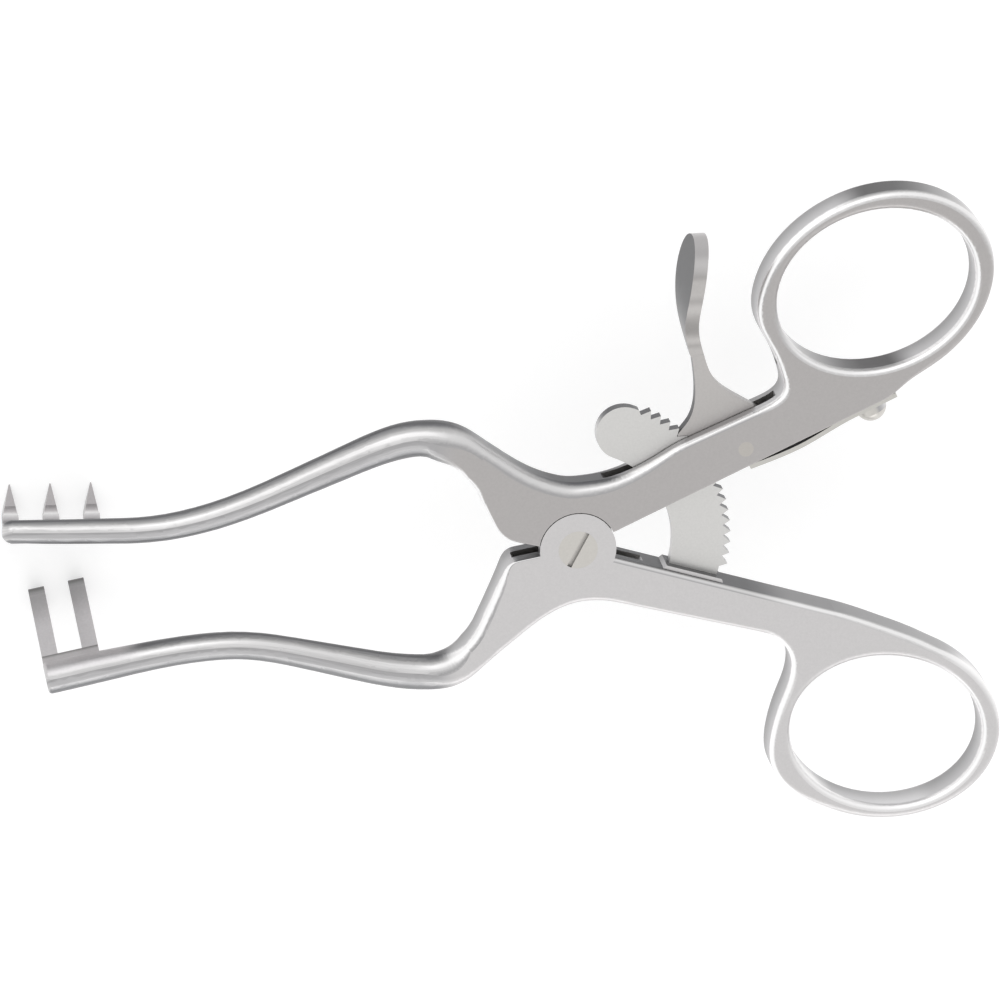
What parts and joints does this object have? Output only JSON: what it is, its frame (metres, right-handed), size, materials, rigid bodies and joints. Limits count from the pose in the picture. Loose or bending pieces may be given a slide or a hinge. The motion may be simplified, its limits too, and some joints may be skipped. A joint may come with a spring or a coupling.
{
  "type": "self_retaining_retractor",
  "caption": "Small self retaining retractor in satin stainless steel with finger rings, pronged blades, a box joint, a curved ratchet rack and a spring loaded thumb lever.",
  "frame": {"origin": "on the pivot axis, on the flat back face of the box joint", "axes": "+X towards the finger rings, +Y from the lower arm to the upper arm, +Z to the front, the prongs point to -Z"},
  "size_m": [0.1071, 0.0718, 0.0198],
  "materials": {
    "satin_steel": "satin",
    "rack_steel": "satin",
    "lever_steel": "satin",
    "screw_steel": "satin",
    "spring_steel": "satin"
  },
  "bodies": {
    "lower_half": {"lower_arm": "satin_steel", "ratchet_rack": "rack_steel", "pivot_screw": "screw_steel"},
    "upper_half": {"upper_arm": "satin_steel", "lever_pin": "screw_steel", "leaf_spring": "spring_steel", "spring_screw": "screw_steel"},
    "lever": {"release_lever": "lever_steel"}
  },
  "joints": [
    {"name": "box_joint", "type": "hinge", "parent": "lower_half", "child": "upper_half", "pos_m": [0, 0, 0.0022], "axis": [0, 0, -1], "range_deg": [-12.75, 38.25]},
    {"name": "ratchet_release", "type": "hinge", "parent": "upper_half", "child": "lever", "pos_m": [0.01796, 0.01034, 0.0022], "axis": [0, 0, -1], "range_deg": [0, 10], "stiffness_Nm_per_rad": 0.06, "springref_deg": -20.05, "deforming": ["leaf_spring"]}
  ]
}
